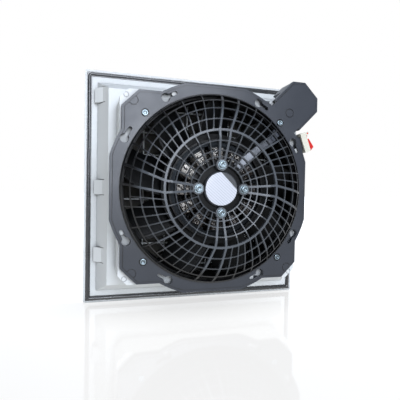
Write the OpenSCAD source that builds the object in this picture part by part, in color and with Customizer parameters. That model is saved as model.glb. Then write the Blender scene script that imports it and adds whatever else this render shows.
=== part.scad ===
// Filter fan for an enclosure panel, seen and built from behind.
// The origin is the centre of the square panel cut-out, on the flange's rear face.
// +Z is up, +Y points into the enclosure, and the louvre grille faces -Y.
// Modules are drawn in a rear view: x to the right, y up, z is the depth behind the panel.

/* [Flange and cut-out] */
// Distance that the flange covers the panel on each side of its square hole
flange_cover = 15.5; // [14:0.5:18]
// Play of the housing in that hole, on each side
cutout_play = 1.2; // [0.8:0.1:1.6]
// Thickness of the flange
flange_t = 5; // [4:0.5:6]
// Radius of the flange's corners
flange_corner = 3; // [2:0.5:5]
// Bare rim of the flange outside the seal
flange_rim = 3; // [2.4:0.1:3.6]

/* [Housing] */
// Wall of the moulded housing
housing_wall = 2.5; // [2:0.1:2.8]
// Depth of the tapered box behind the panel
box_depth = 30; // [26:1:34]
// Distance that each wall of the box leans in over its depth
box_lean = 13.8; // [11:0.2:15]
// Distance from the square pedestal's back edge to the shoulder of the box, on each side
box_shoulder = 11; // [9:0.5:13]
// Rim of the pedestal outside the bore for the wall ring
pedestal_rim = 2.9; // [2.6:0.1:3.8]
// Corner cut of the pedestal
pedestal_cut = 11; // [9:0.5:12]
// Radius of the moulded ring on each corner of the pedestal
corner_ring_r = 3.4; // [2.6:0.1:3.8]

/* [Seal] */
// Width of the foamed seal
seal_w = 6; // [5:0.25:7]
// Depth of the groove that holds the seal
seal_groove = 1; // [0.6:0.1:1.5]
// Height of the seal's round bead above the flange
seal_h = 3.2; // [2.6:0.1:4]

/* [Louvre grille] */
// Distance that the grille stands out from the panel
front_depth = 25; // [24:0.5:27]
// Wall of the grille's rim
louvre_wall = 3; // [2.4:0.2:3.4]
// Width of the grille's plain front border
louvre_border = 19; // [17:0.5:21]
// Number of louvre slats
louvre_slats = 21; // [17:1:23]
// Thickness of a slat
slat_t = 1.8; // [1.4:0.1:2.2]
// Lean of the slats from level
slat_lean = 44; // [36:1:48]
// Width of the two upright ribs that stiffen the slats
louvre_rib = 3; // [2:0.5:4]
// Radius of the grille's hinge pins
hinge_pin_r = 1.55; // [1.3:0.05:1.7]
// Distance of each hinge ear from the middle
hinge_ear_x = 100; // [80:5:115]
// Width of a hinge ear
hinge_ear_w = 6; // [5:0.5:8]

/* [Filter] */
// Distance from the filter mat's edge to the line of the panel's hole
mat_margin = 1.5; // [1.3:0.1:2]
// Thickness of the filter mat
mat_t = 12; // [11:0.25:12.5]
// Thickness of the grid that backs the mat
grid_t = 3; // [2.4:0.1:3.2]
// Width of a bar of that grid
grid_bar = 2; // [1.6:0.1:3]
// Number of openings along one side of the grid
grid_cells = 9; // [8:1:11]

/* [Panel clips] */
// Length of a snap clip along the panel's edge
clip_len = 20; // [16:1:24]
// Distance from the flange to the clip's catch face
clip_grip = 4.6; // [4.4:0.1:5]
// Distance that the clip's nose stands out past the cut-out
clip_catch = 2.3; // [1.8:0.1:2.6]
// Depth of the clip's root behind the panel
clip_root = 19; // [17:0.5:21]

/* [Fan plate] */
// Depth of the fan plate's face behind the panel
plate_depth = 86; // [84:0.5:88]
// Height of the fan plate's skirt
plate_h = 8; // [7.6:0.1:8.6]
// Thickness of the fan plate's face
plate_t = 2.5; // [2.3:0.1:2.7]
// Wall of the fan plate's skirt
plate_wall = 2.5; // [2:0.1:2.8]
// Width of the fan plate's bulged sides outside the bayonet circle
plate_edge_w = 8.3; // [7.5:0.1:9]
// Depth that four flats cut into those bulges
plate_flat_in = 5.7; // [4.5:0.1:6.5]
// Distance from the bulges to the square that makes the four lobes
lobe_in = 19; // [18:0.5:20]
// Corner cut of the lobes
lobe_cut = 20; // [17:0.5:22]
// Width of the lowered step round the fan plate
plate_step_w = 3.5; // [2.6:0.1:4.2]
// Height of that step
plate_step_h = 1; // [0.6:0.1:1.3]
// Distance from the guard's rim to the circle of bayonet keyholes
bayonet_out = 9.3; // [8.8:0.1:9.8]
// Radius of the wide end of a keyhole
keyhole_r = 5.5; // [5:0.1:5.6]
// Half the width of the narrow end of a keyhole
keyslot_r = 2.3; // [2.25:0.05:2.5]
// Twist that frees the fan from the housing
twist = 6; // [5:0.5:7]
// Radius of the shank of a bayonet stud
stud_r = 2; // [1.8:0.05:2]
// Radius of the head of a bayonet stud
stud_head_r = 4.2; // [3.8:0.1:4.3]
// Distance from the bayonet circle in to the circle of screws at the plate's corners
plate_screw_in = 0.9; // [0.3:0.1:1.5]

/* [Terminal arm] */
// Half the width of the arm
arm_half = 27; // [25:0.5:28]
// Length of the arm's tip past the capacitor under it
arm_tip_len = 12; // [10.5:0.5:14]
// Half the width of the arm's flat tip
arm_tip_half = 14; // [12:0.5:16]
// Depth of the box under the arm
tray_h = 25; // [24:0.5:28]
// Wall of the box under the arm
tray_wall = 2; // [1.6:0.1:2.2]
// Radius of the motor's run capacitor
capacitor_r = 10; // [9:0.25:10]
// Length of the capacitor
capacitor_len = 42; // [36:1:44]

/* [Terminal] */
// Length of the terminal block
block_len = 26.6; // [24:0.5:28]
// Width of the terminal block
block_w = 8.6; // [8:0.2:9]
// Height of the terminal block
block_h = 16; // [14.5:0.5:17]
// Radius of a wire entry
wire_r = 1.5; // [1.2:0.1:1.6]
// Depth of a wire entry
wire_depth = 9; // [7:0.5:11]
// Distance from one wire entry to the next
wire_pitch = 4.6; // [4.4:0.1:4.8]
// Distance that the lever's thumb wedge stands out from the block
lever_out = 7.3; // [6:0.1:9]

/* [Guard] */
// Distance that the guard's rim stands out past the wall ring
guard_lip = 2.6; // [2.4:0.1:2.8]
// Height of the guard's crown above the fan plate
guard_rise = 33.3; // [31.5:0.1:34.5]
// Height of the guard's bars
guard_bar_h = 4; // [3:0.25:4.4]
// Width of a thin ring or bar
thin_bar = 1.5; // [1.3:0.1:2]
// Width of the thick ring and the doubled bars
thick_bar = 2.9; // [2.4:0.1:3.4]
// Radius of the guard's thick ring
thick_ring_r = 71; // [70:0.5:72]
// Thin bars between two doubled bars inside the thick ring
inner_bars = 5; // [3:2:5]

/* [Hub and motor] */
// Radius of the circle of hub screws
hub_screw_r = 29.2; // [28.6:0.2:30]
// Radius of the boss round a hub screw
hub_boss_r = 7.2; // [6.6:0.1:7.6]
// Height of the bosses
boss_h = 7.5; // [6.5:0.25:8.5]
// Depth of the bosses' faces under the guard's crown
hub_sink = 7.3; // [6.3:0.1:7.7]
// Radius of the motor's mounting flange
motor_flange_r = 36; // [35:0.5:37]
// Thickness of the motor's mounting flange
motor_flange_t = 3.5; // [3:0.25:4]
// Radius of the motor's end cap
cap_r = 21.5; // [21:0.25:22]
// Height of the motor's end cap
cap_h = 6.7; // [6:0.1:7.2]
// Radius of the rating plate
label_r = 20.1; // [19.5:0.1:20.6]
// Thickness of the rating plate
label_t = 0.4; // [0.2:0.1:0.6]
// Radius of the rotor
rotor_r = 62.5; // [61:0.5:63.5]
// Gap from the rotor's open end to the motor's flange
rotor_gap = 6; // [5.4:0.1:7]
// Wall of the rotor
rotor_wall = 2.5; // [2:0.1:3]
// Thickness of the rotor's core
rotor_core_t = 5.3; // [4.5:0.1:6.5]
// Air gap between stator and rotor
air_gap = 0.6; // [0.5:0.1:0.9]
// Height of the stator's stack
stator_h = 24; // [22:0.5:25]
// Number of stator teeth and coils
stator_teeth = 12; // [9:3:15]
// Radius of the shaft
shaft_r = 4; // [3.5:0.1:4.4]
// Outer radius of a ball bearing
bearing_r = 11; // [10.5:0.1:11.5]
// Width of a ball bearing
bearing_w = 7; // [6:0.5:7.5]
// Running clearance of the shaft
running = 0.05; // [0.02:0.01:0.08]
// Width of the cable duct
duct_w = 10; // [8:0.5:11]
// Height of the cable duct
duct_h = 4; // [3:0.25:4]

/* [Impeller and wall ring] */
// Inner radius of the wall ring, which sets the size of the whole unit
wall_ring_r = 114.8; // [112:0.1:118]
// Wall of the wall ring
wall_ring_t = 2; // [1.6:0.1:2]
// Length of the wall ring
wall_ring_len = 45.4; // [42:0.5:48]
// Gap between the blades' tips and the wall ring
tip_gap = 1; // [0.8:0.1:1.6]
// Number of impeller blades
blades = 9; // [7:1:11]
// Thickness of a blade
blade_t = 2.2; // [1.8:0.1:2.8]
// Depth range that a blade takes up
blade_h = 30; // [26:1:31]
// Wall of the impeller's hub at its front
hub_wall = 2.9; // [2.4:0.1:3.6]
// Distance that the hub widens towards its back
hub_flare = 4.5; // [3:0.5:6]

/* [Hidden] */
$fn = 96;

// Common small values
overrun = 1;
free_gap = 0.3;
seat_gap = 0.1;
slot_relief = 0.05;
moulding_grey = "#dfe4e6";
plate_grey = "#59606b";
guard_black = "#1d1f22";
zinc = "#b8c6cc";

// Radii of the fan, from the wall ring outwards
ring_clear_r = wall_ring_r + wall_ring_t + free_gap;
guard_r = wall_ring_r + wall_ring_t + guard_lip;
bayonet_r = guard_r + bayonet_out;
plate_arc_r = bayonet_r + plate_edge_w;
plate_flat = plate_arc_r - plate_flat_in;
lobe_half = plate_arc_r - lobe_in;
plate_screw_r = bayonet_r - plate_screw_in;

// Housing
pedestal_half = ring_clear_r + pedestal_rim;
pedestal_depth = plate_depth - plate_h - free_gap;
box_slope = box_lean / box_depth;
box_back_half = pedestal_half + box_shoulder;
box_half = box_back_half + box_lean;
cutout_w = 2 * (box_half + cutout_play);
flange_w = cutout_w + 2 * flange_cover;
flange_half = flange_w / 2;
ledge_t = 1;
mat_w = cutout_w - 2 * mat_margin;
mat_play = 0.8;
pocket_half = mat_w / 2 + mat_play;
collar_wall = 2;
collar_short = 2;
collar_h = mat_t - collar_short;
grid_play = 0.3;
corner_ring_at = pedestal_half - pedestal_cut * 0.7;
corner_ring_w = 0.8;
corner_ring_deep = 0.6;

// Seal
seal_out = flange_half - flange_rim;
seal_in = seal_out - seal_w;
seal_play = 0.1;
bead_r = seal_w * 0.37;

// Louvre grille
hinge_r = 4;
hinge_depth = -(flange_t + free_gap + hinge_r);
hinge_v = -flange_half + hinge_r;
ear_r = 3;
ear_play = 0.4;
cheek_w = 3;
cheek_r = hinge_r - free_gap;
slat_zone = flange_w - 2 * louvre_border;
slat_pitch = slat_zone / louvre_slats;
slat_h = front_depth - ledge_t - grid_t - mat_t - 2 * free_gap;
rib_at_share = 1 / 6;
border_t = 3;

// Panel clips
clip_v_shares = [0.865, 0, -0.64];
clip_end_gap = 0.9;
clip_front_gap = 1.4;
clip_lead = 1;
clip_tip = clip_grip - clip_lead;
clip_back_gap = 0.4;
nose_t = 1.4;

// Fan plate
aperture_r = guard_r + seat_gap * 2;
keyhole_angles = [30.5, 62.9];
keyhole_ledge = 2.5;
keyhole_chamber = 3;
chamber_play = 0.4;
pad_ends = 3.4;
pad_wall = 1.2;
pad_gap = 0.2;
pad_inner_r = bayonet_r - stud_head_r - chamber_play - pad_wall;
screw_sink = 1.5;
screw_sink_r = 5;
plate_screw_shank_r = 1.6;
plate_screw_head_r = 3.8;
plate_screw_head_h = 2.6;
lobe_ring_r = 6;
lobe_ring_w = 0.9;
lobe_ring_deep = 0.5;
lobe_ring_out = 20;
lobe_ring_at = plate_screw_r + lobe_ring_out;
lobe_reach = (2 * lobe_half - lobe_cut) / sqrt(2);
notch_w = 3;
notch_len = 9;
notch_back = 13.7;
notch_at = lobe_reach - notch_back;

// Wall ring
ring_flange_t = 2.4;
ring_flange_r = pad_inner_r - pad_gap;
ring_top = plate_depth - plate_t - seat_gap;
ring_ear_r = 6;
ring_boss_h = 5.2;

// Terminal arm
tray_play = 0.4;
tray_clear = 0.9;
pedestal_corner_r = norm([pedestal_half, pedestal_half - pedestal_cut]);
tray_from = pedestal_corner_r + tray_clear;
tray_top = plate_depth - plate_h;
tray_tip_h = 4;
tray_flat_len = 1.8 * capacitor_r;
arm_reach = tray_from + 2 * capacitor_r + arm_tip_len;
arm_shoulder = arm_reach - (arm_half - arm_tip_half);

// Terminal block and lever
block_turn = 20;
block_out = 7.9;
block_angle = 27.16;
block_at = (plate_arc_r + block_out) * [cos(block_angle), sin(block_angle)];
block_rise = 2;
block_top = plate_depth + block_rise;
block_bottom = block_top - block_h;
lug_len = 18;
lug_reach = 10;
lever_gap = 0.3;
lever_wall = 1.3;
lever_pin_r = 1;
lever_pin_out = 2.4;
lever_pin_in = 2.4;
lever_ear_t = 2.6;
lever_ear_r = 2.1;
lever_pin_at = [block_w / 2 + lever_pin_out, block_len / 2 - lever_pin_in];
lever_side_gap = 0.3;

// Guard
guard_crown = plate_depth + guard_rise;
hub_ring_r = 30;
ring_shares = [0.327, 0.39, 0.487, 0.708, 0.821, 0.913];
dip_r_share = 0.52;
dip_slope = 0.29;
dome_power = 5;
dome_curve = 0.62;
rim_w = 2;
dome_station_shares = [0.235, 0.39, 0.52, 0.62, 0.76, 0.84, 0.913, 0.96, 0.985];
lean_shares = [[0.235, -0.5], [0.595, -1.2], [0.821, -5.5], [1, -7.8]];
double_half = 5.6;
medium_bar = 2.1;
screw_bore_r = 2.7;

// Hub, motor and duct
hub_depth = guard_crown - hub_sink;
flange_back = hub_depth - boss_h;
flange_front = flange_back - motor_flange_t;
hub_shank_r = 2.4;
washer_r = 5.5;
washer_t = 1.2;
hub_head_r = 3.9;
hub_head_h = 2.8;
socket_share = 0.5;
label_cut = label_r * 0.69;
coil_h = 6;
coil_gap = 1;
coil_back_gap = 5;
coil_front_gap = 5.5;
stator_front = flange_front - coil_back_gap - coil_h - stator_h;
stator_r = rotor_r - rotor_wall - seat_gap - rotor_core_t - air_gap;
rotor_front = stator_front - coil_h - coil_front_gap - rotor_wall;
rotor_back = flange_front - rotor_gap;
tube_wall = 2;
tube_gap = 2;
tube_floor = 2.5;
tube_front = rotor_front + rotor_wall + tube_gap;
tube_back = flange_front - tube_floor;
rotor_boss_h = 1.7;
rotor_boss_r = 8;
shaft_out = 1;
coil_in = stator_r * 0.6;
tooth_neck_share = 0.36;
yoke_share = 0.5;
shoe_share = 0.8;
shoe_t = 3;
duct_from = [26, 29.5];
duct_turn = 39;
duct_back_len = 9;
duct_past = 3.9;
duct_foot_len = 4.3;
duct_slope_len = 18.8;
duct_end = guard_r - norm(duct_from) + duct_past;
duct_foot = guard_r - norm(duct_from) - duct_foot_len;
duct_flat = duct_foot - duct_slope_len;

// Impeller
tip_r = wall_ring_r - tip_gap;
hub_front_r = rotor_r + seat_gap + hub_wall;
hub_back_r = hub_front_r + hub_flare;
hub_short = 8;
blade_lead = 2.2;
blade_front = rotor_front - blade_lead;
blade_curve_r = 110;
blade_pitch = 33;
leading_shares = [0.88, -0.79];
trailing_shares = [0.685, -0.404];
sweep_share = 0.7;
impeller_disc_t = 2.5;
impeller_hole_r = 20;
impeller_front = rotor_front - impeller_disc_t;
impeller_back = rotor_back - hub_short;

// Turns the rear view into the part's frame
module rear() {
    rotate([90, 0, 180]) children();
}

// A slab of a drawn outline between two depths
module slab(from, to) {
    translate([0, 0, from]) linear_extrude(to - from) children();
}

// A full square, given by half its width
module square_of(half) {
    square(2 * half, center = true);
}

module rounded_square(half, radius) {
    square([2 * half, 2 * (half - radius)], center = true);
    square([2 * (half - radius), 2 * half], center = true);
    for (turn = [0:90:270]) {
        rotate(turn) translate([half - radius, half - radius]) circle(radius);
    }
}

// A square with its corners cut off at 45 degrees
module cut_square(half, cut) {
    polygon([for (turn = [0:90:270], end = [0, 1])
        let (p = end == 0 ? [half, half - cut] : [half - cut, half])
        [p[0] * cos(turn) - p[1] * sin(turn), p[0] * sin(turn) + p[1] * cos(turn)]]);
}

// A square tube's outside or inside that narrows with depth
module frustum(half_from, half_to, from, to) {
    wide = 2 * max(half_from, half_to);
    side = [[-half_from, from], [half_from, from], [half_to, to], [-half_to, to]];
    intersection() {
        rotate([90, 0, 0]) linear_extrude(wide, center = true) polygon(side);
        rotate([90, 0, 90]) linear_extrude(wide, center = true) polygon(side);
    }
}

// Four copies a quarter turn apart
module quarters() {
    for (turn = [0:90:270]) rotate(turn) children();
}

// A slot along an arc, as an outline, with ends that are a touch wider
module arc_slot(radius, half_w, from, to) {
    intersection() {
        difference() {
            circle(radius + half_w);
            circle(radius - half_w);
        }
        polygon([[0, 0], for (a = [from, (from + to) / 2, to]) 1.2 * radius * [cos(a), sin(a)]]);
    }
    for (a = [from, to]) rotate(a) translate([radius, 0]) circle(half_w + slot_relief);
}

// Outline of a panel clip: across the panel's edge, and depth
module clip_outline() {
    outer_tip = box_half - box_slope * clip_tip;
    outer_root = box_half - box_slope * clip_root;
    nose = cutout_w / 2 + clip_catch;
    ramp_end = clip_root * 0.8;
    polygon([[outer_tip - housing_wall, clip_tip], [outer_tip, clip_tip],
        [box_half - box_slope * clip_grip, clip_grip], [nose, clip_grip], [nose, clip_grip + nose_t],
        [box_half - box_slope * ramp_end, ramp_end], [outer_root, clip_root],
        [outer_root - housing_wall, clip_root]]);
    translate([outer_root - housing_wall / 2, clip_root]) circle(housing_wall / 2, $fn = 24);
}

module panel_clip(side, place) {
    at = clip_v_shares[place] * box_half;
    color(moulding_grey) rear() mirror([side < 0 ? 1 : 0, 0, 0]) translate([0, at, 0])
        rotate([90, 0, 0]) linear_extrude(clip_len, center = true) clip_outline();
}

module clip_windows() {
    from = clip_tip - clip_front_gap;
    to = clip_root + housing_wall / 2 + clip_back_gap;
    for (side = [0, 1], place = [0:2]) mirror([side, 0, 0])
        translate([box_back_half, clip_v_shares[place] * box_half - clip_len / 2 - clip_end_gap, from])
            cube([2 * box_lean, clip_len + 2 * clip_end_gap, to - from]);
}

// Ear for the grille's hinge, on the flange's front
module hinge_ears() {
    for (x = [-hinge_ear_x, hinge_ear_x]) translate([x - hinge_ear_w / 2, hinge_v, 0]) {
        translate([0, -ear_r, hinge_depth])
            cube([hinge_ear_w, 2 * ear_r, -hinge_depth - flange_t + seat_gap]);
        translate([0, 0, hinge_depth]) rotate([0, 90, 0]) cylinder(r = ear_r, h = hinge_ear_w);
    }
}

module hinge_bores() {
    for (x = [-hinge_ear_x, hinge_ear_x]) translate([x - hinge_ear_w / 2 - overrun, hinge_v, hinge_depth])
        rotate([0, 90, 0]) cylinder(r = hinge_pin_r + running, h = hinge_ear_w + 2 * overrun);
}

module mounting_frame() {
    color(moulding_grey) rear() difference() {
        union() {
            slab(-flange_t, 0) rounded_square(flange_half, flange_corner);
            slab(-flange_t - collar_h, -ledge_t) square_of(pocket_half + collar_wall);
            frustum(box_half, box_back_half, 0, box_depth);
            slab(box_depth - housing_wall, pedestal_depth) cut_square(pedestal_half, pedestal_cut);
            hinge_ears();
        }
        slab(-flange_t - collar_h - overrun, -ledge_t) square_of(pocket_half);
        slab(-ledge_t - overrun, 0) square_of(box_half - housing_wall);
        frustum(box_half - housing_wall, box_half - housing_wall - box_slope * (box_depth - housing_wall),
            0, box_depth - housing_wall);
        slab(box_depth - housing_wall - overrun, pedestal_depth - housing_wall)
            cut_square(pedestal_half - housing_wall, pedestal_cut - housing_wall * (2 - sqrt(2)));
        slab(pedestal_depth - housing_wall - overrun, pedestal_depth + overrun) circle(ring_clear_r);
        slab(-seal_groove, overrun) difference() {
            square_of(seal_out + seal_play);
            square_of(seal_in - seal_play);
        }
        slab(pedestal_depth - corner_ring_deep, pedestal_depth + overrun) quarters()
            translate([corner_ring_at, corner_ring_at]) difference() {
                circle(corner_ring_r);
                circle(corner_ring_r - corner_ring_w);
            }
        clip_windows();
        hinge_bores();
    }
}

module frame_seal() {
    middle = (seal_out + seal_in) / 2;
    color("#33363b") rear() {
        slab(-seal_groove, seal_h - bead_r) difference() {
            square_of(seal_out);
            square_of(seal_in);
        }
        intersection() {
            translate([0, 0, seal_h - bead_r]) quarters() {
                translate([middle, 0, 0]) rotate([90, 0, 0])
                    cylinder(r = bead_r, h = 2 * middle, center = true, $fn = 32);
                translate([middle, middle, 0]) sphere(bead_r, $fn = 32);
            }
            slab(-seal_groove, seal_h + overrun) square_of(seal_out);
        }
    }
}

module filter_support_grid() {
    half = pocket_half - grid_play;
    pitch = 2 * (half - grid_bar / 2) / grid_cells;
    color(moulding_grey) rear() slab(-ledge_t - grid_t, -ledge_t) {
        difference() {
            square_of(half);
            square_of(half - 2 * grid_bar);
        }
        for (k = [1:grid_cells - 1]) translate([k * pitch - half + grid_bar / 2, 0]) {
            square([grid_bar, 2 * half - grid_bar], center = true);
        }
        for (k = [1:grid_cells - 1]) translate([0, k * pitch - half + grid_bar / 2]) {
            square([2 * half - grid_bar, grid_bar], center = true);
        }
    }
}

module filter_mat() {
    from = -ledge_t - grid_t - free_gap;
    color("#e9e7dd") rear() slab(from - mat_t + free_gap, from) square_of(mat_w / 2);
}

module bayonet_studs() {
    ledge_top = plate_depth - plate_h + keyhole_ledge;
    color(moulding_grey) rear() rotate(keyhole_angles[0] - twist) quarters() translate([bayonet_r, 0, 0]) {
        slab(pedestal_depth, ledge_top + free_gap) circle(stud_r, $fn = 32);
        slab(ledge_top + free_gap, ledge_top + keyhole_chamber - free_gap) circle(stud_head_r, $fn = 48);
    }
}

// One slat, as its outline in depth and height, run across the grille
module louvre_slat() {
    run = slat_h / tan(90 - slat_lean);
    rotate([90, 0, 90]) linear_extrude(slat_zone + 2 * overrun, center = true)
        polygon([[0, -front_depth], [slat_t, -front_depth],
            [slat_t + run, slat_h - front_depth], [run, slat_h - front_depth]]);
}

module louvre_grille() {
    back = -flange_t - free_gap;
    inner = flange_half - louvre_wall;
    color(moulding_grey) rear() difference() {
        union() {
            difference() {
                slab(-front_depth, back) rounded_square(flange_half, flange_corner);
                slab(-front_depth + border_t, back + overrun) square_of(inner);
                slab(-front_depth - overrun, back) square_of(slat_zone / 2);
                // The rear bottom edge is round about the hinge
                translate([-flange_w, 0, 0]) difference() {
                    translate([0, hinge_v - 2 * hinge_r, hinge_depth])
                        cube([2 * flange_w, 2 * hinge_r, 2 * hinge_r]);
                    translate([0, hinge_v, hinge_depth]) rotate([0, 90, 0])
                        cylinder(r = hinge_r, h = 2 * flange_w);
                }
            }
            for (k = [0:louvre_slats - 1]) {
                translate([0, (k + 0.5) * slat_pitch - slat_zone / 2 - slat_t, 0]) louvre_slat();
            }
            for (side = [-1, 1]) translate([side * slat_zone * rib_at_share, 0, 0])
                slab(-front_depth + slat_t, -front_depth + slat_h)
                    square([louvre_rib, slat_zone + 2 * overrun], center = true);
            for (x = [-hinge_ear_x, hinge_ear_x], side = [-1, 1])
                translate([x + side * (hinge_ear_w / 2 + ear_play + cheek_w / 2), hinge_v, hinge_depth])
                    rotate([0, 90, 0]) cylinder(r = cheek_r, h = cheek_w, center = true);
        }
        for (x = [-hinge_ear_x, hinge_ear_x])
            translate([x - hinge_ear_w / 2 - ear_play, hinge_v - 2 * hinge_r, hinge_depth - ear_r - ear_play])
                cube([hinge_ear_w + 2 * ear_play, 2 * hinge_r + ear_r + ear_play, 4 * hinge_r]);
    }
    color(moulding_grey) rear() for (x = [-hinge_ear_x, hinge_ear_x]) translate([x, hinge_v, hinge_depth])
        rotate([0, 90, 0]) cylinder(r = hinge_pin_r, h = hinge_ear_w + 2 * ear_play + 1, center = true);
}

// Outline of the fan plate and its arm, drawn in by an inset all round
module plate_outline(inset) {
    intersection() {
        circle(plate_arc_r - inset);
        square_of(plate_flat - inset);
    }
    cut_square(lobe_half - inset, lobe_cut - inset * (2 - sqrt(2)));
    arm_outline(0, inset);
}

// Outline of the arm from a distance off the fan's axis to its tip
module arm_outline(from, inset) {
    slip = inset * (sqrt(2) - 1);
    w = arm_half - inset;
    tip_w = arm_tip_half - slip;
    rotate(45) polygon([[from, -w], [arm_shoulder - slip, -w], [arm_reach - inset, -tip_w],
        [arm_reach - inset, tip_w], [arm_shoulder - slip, w], [from, w]]);
}

// Outline of the pad behind one keyhole
module keyhole_pad(at) {
    intersection() {
        difference() {
            circle(plate_arc_r - plate_wall / 2);
            circle(pad_inner_r);
        }
        polygon([[0, 0], for (a = [at - twist - pad_ends, at - twist / 2, at + pad_ends])
            1.2 * plate_arc_r * [cos(a), sin(a)]]);
    }
}

module keyhole(at) {
    arc_slot(bayonet_r, keyslot_r, at - twist, at);
    rotate(at) translate([bayonet_r, 0]) circle(keyhole_r, $fn = 48);
}

// Where the terminal block stands on the plate's edge
module at_block() {
    translate(block_at) rotate(block_turn) children();
}

module fan_plate() {
    bottom = plate_depth - plate_h;
    skin = plate_depth - plate_t;
    color(plate_grey) rear() difference() {
        union() {
            slab(skin, plate_depth - plate_step_h) plate_outline(0);
            slab(skin, plate_depth) plate_outline(plate_step_w);
            slab(bottom, skin) difference() {
                plate_outline(0);
                plate_outline(plate_wall);
            }
            slab(bottom, skin) quarters() for (at = keyhole_angles) keyhole_pad(at);
            slab(bottom, plate_depth - plate_step_h) at_block()
                translate([-block_w / 2 - lug_reach, -lug_len / 2]) square([lug_reach, lug_len]);
        }
        slab(bottom - overrun, plate_depth + overrun) circle(aperture_r);
        slab(bottom - overrun, skin) circle(ring_flange_r + seat_gap);
        slab(bottom - overrun, plate_depth + overrun) quarters() for (at = keyhole_angles) keyhole(at);
        slab(bottom + keyhole_ledge, bottom + keyhole_ledge + keyhole_chamber) quarters()
            for (at = keyhole_angles) arc_slot(bayonet_r, stud_head_r + chamber_play, at - twist, at);
        rotate(45) quarters() translate([plate_screw_r, 0, 0]) {
            slab(plate_depth - screw_sink, plate_depth + overrun) circle(screw_sink_r, $fn = 48);
            slab(skin - overrun, plate_depth) circle(plate_screw_shank_r + seat_gap, $fn = 32);
        }
        slab(plate_depth - lobe_ring_deep, plate_depth + overrun) rotate(45) quarters()
            translate([lobe_ring_at, 0]) difference() {
                circle(lobe_ring_r, $fn = 48);
                circle(lobe_ring_r - lobe_ring_w, $fn = 48);
            }
        slab(bottom - overrun, plate_depth + overrun) rotate(45) for (side = [-1, 1])
            translate([notch_at, side * arm_half]) square([notch_len, 2 * notch_w], center = true);
    }
}

// Outline of the box under the arm
module tray_outline(inset) {
    intersection() {
        arm_outline(tray_from + inset, tray_play + inset);
        rotate(45) translate([tray_from + inset, -arm_half]) square([arm_reach, 2 * arm_half]);
    }
}

// Side view of that box, run across the arm
module tray_side(inset) {
    bottom = tray_top - tray_h + inset;
    rotate(45) rotate([90, 0, 0]) linear_extrude(4 * arm_half, center = true)
        polygon([[0, tray_top + overrun], [0, bottom], [tray_from + tray_flat_len, bottom],
            [arm_reach, tray_top - tray_tip_h + inset], [arm_reach, tray_top + overrun]]);
}

module terminal_box() {
    color(plate_grey) rear() difference() {
        intersection() {
            slab(tray_top - tray_h, tray_top) tray_outline(0);
            tray_side(0);
        }
        intersection() {
            slab(tray_top - tray_h, tray_top + overrun) tray_outline(tray_wall);
            tray_side(tray_wall);
        }
    }
}

module run_capacitor() {
    at = tray_from + tray_wall + seat_gap + capacitor_r;
    depth = tray_top - tray_h + tray_wall + seat_gap + capacitor_r;
    color("#c9ccd0") rear() rotate(45) translate([at, 0, depth]) rotate([90, 0, 0]) {
        cylinder(r = capacitor_r, h = capacitor_len, center = true, $fn = 64);
        translate([0, 0, capacitor_len / 2]) cylinder(r = capacitor_r * 0.3, h = capacitor_r * 0.2, $fn = 32);
    }
}

module terminal_block() {
    color("#e8e8dc") rear() at_block() difference() {
        union() {
            slab(block_bottom, block_top) square([block_w, block_len], center = true);
            for (z = [block_bottom, block_top - lever_ear_t]) slab(z, z + lever_ear_t) {
                translate(lever_pin_at) circle(lever_ear_r, $fn = 32);
                translate([lever_pin_at[0] - lever_ear_r - block_w / 4, lever_pin_at[1] - lever_ear_r])
                    square([lever_ear_r + block_w / 4, 2 * lever_ear_r]);
            }
        }
        for (k = [-1, 0, 1]) translate([0, -block_len / 2 - overrun, (block_bottom + block_top) / 2
            + k * wire_pitch]) rotate([-90, 0, 0]) cylinder(r = wire_r, h = wire_depth + overrun, $fn = 32);
        slab(block_bottom - overrun, block_top + overrun) translate(lever_pin_at)
            circle(lever_pin_r + running, $fn = 32);
    }
}

module terminal_lever() {
    from = block_bottom + lever_ear_t + lever_side_gap;
    to = block_top - lever_ear_t - lever_side_gap;
    face = block_w / 2 + lever_gap;
    foot = -block_len / 2;
    color("#d8352f") rear() at_block() {
        slab(from, to) {
            polygon([[face, foot + lever_wall], [face + lever_wall, foot],
                [face + lever_out, foot + block_len * 0.14], [face + lever_out * 0.5, block_len * 0.12],
                [face + lever_wall, block_len * 0.16],
                [lever_pin_at[0] + lever_wall, lever_pin_at[1]], [face, lever_pin_at[1]]]);
            translate(lever_pin_at) circle(lever_pin_at[0] - face, $fn = 32);
        }
        slab(block_bottom, block_top) translate(lever_pin_at) circle(lever_pin_r, $fn = 32);
    }
}

module wall_ring() {
    bottom = ring_top - wall_ring_len;
    outer = wall_ring_r + wall_ring_t;
    color(guard_black) rear() difference() {
        union() {
            slab(bottom, ring_top) circle(outer);
            slab(ring_top - ring_flange_t, ring_top) circle(ring_flange_r);
            slab(ring_top - ring_boss_h, ring_top) rotate(45) quarters()
                translate([plate_screw_r, 0]) circle(ring_ear_r, $fn = 48);
            slab(ring_top - ring_flange_t, ring_top) rotate(45) quarters() translate([outer, -ring_ear_r])
                square([plate_screw_r - outer, 2 * ring_ear_r]);
        }
        slab(bottom - overrun, ring_top + overrun) circle(wall_ring_r);
        slab(ring_top - ring_boss_h - overrun, ring_top + overrun) rotate(45) quarters()
            translate([plate_screw_r, 0]) circle(plate_screw_shank_r + running, $fn = 32);
    }
}

// A screw that stands on its head's seat: shank below, head above, with a six-sided socket
module screw(shank_r, shank_len, head_r, head_h, collar_r, collar_t) {
    slab(-shank_len, 0) circle(shank_r, $fn = 32);
    if (collar_t > 0) slab(0, collar_t) circle(collar_r, $fn = 48);
    difference() {
        slab(0, collar_t + head_h) circle(head_r, $fn = 48);
        slab(collar_t + head_h * (1 - socket_share), collar_t + head_h + overrun)
            circle(head_r * socket_share, $fn = 6);
    }
}

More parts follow.
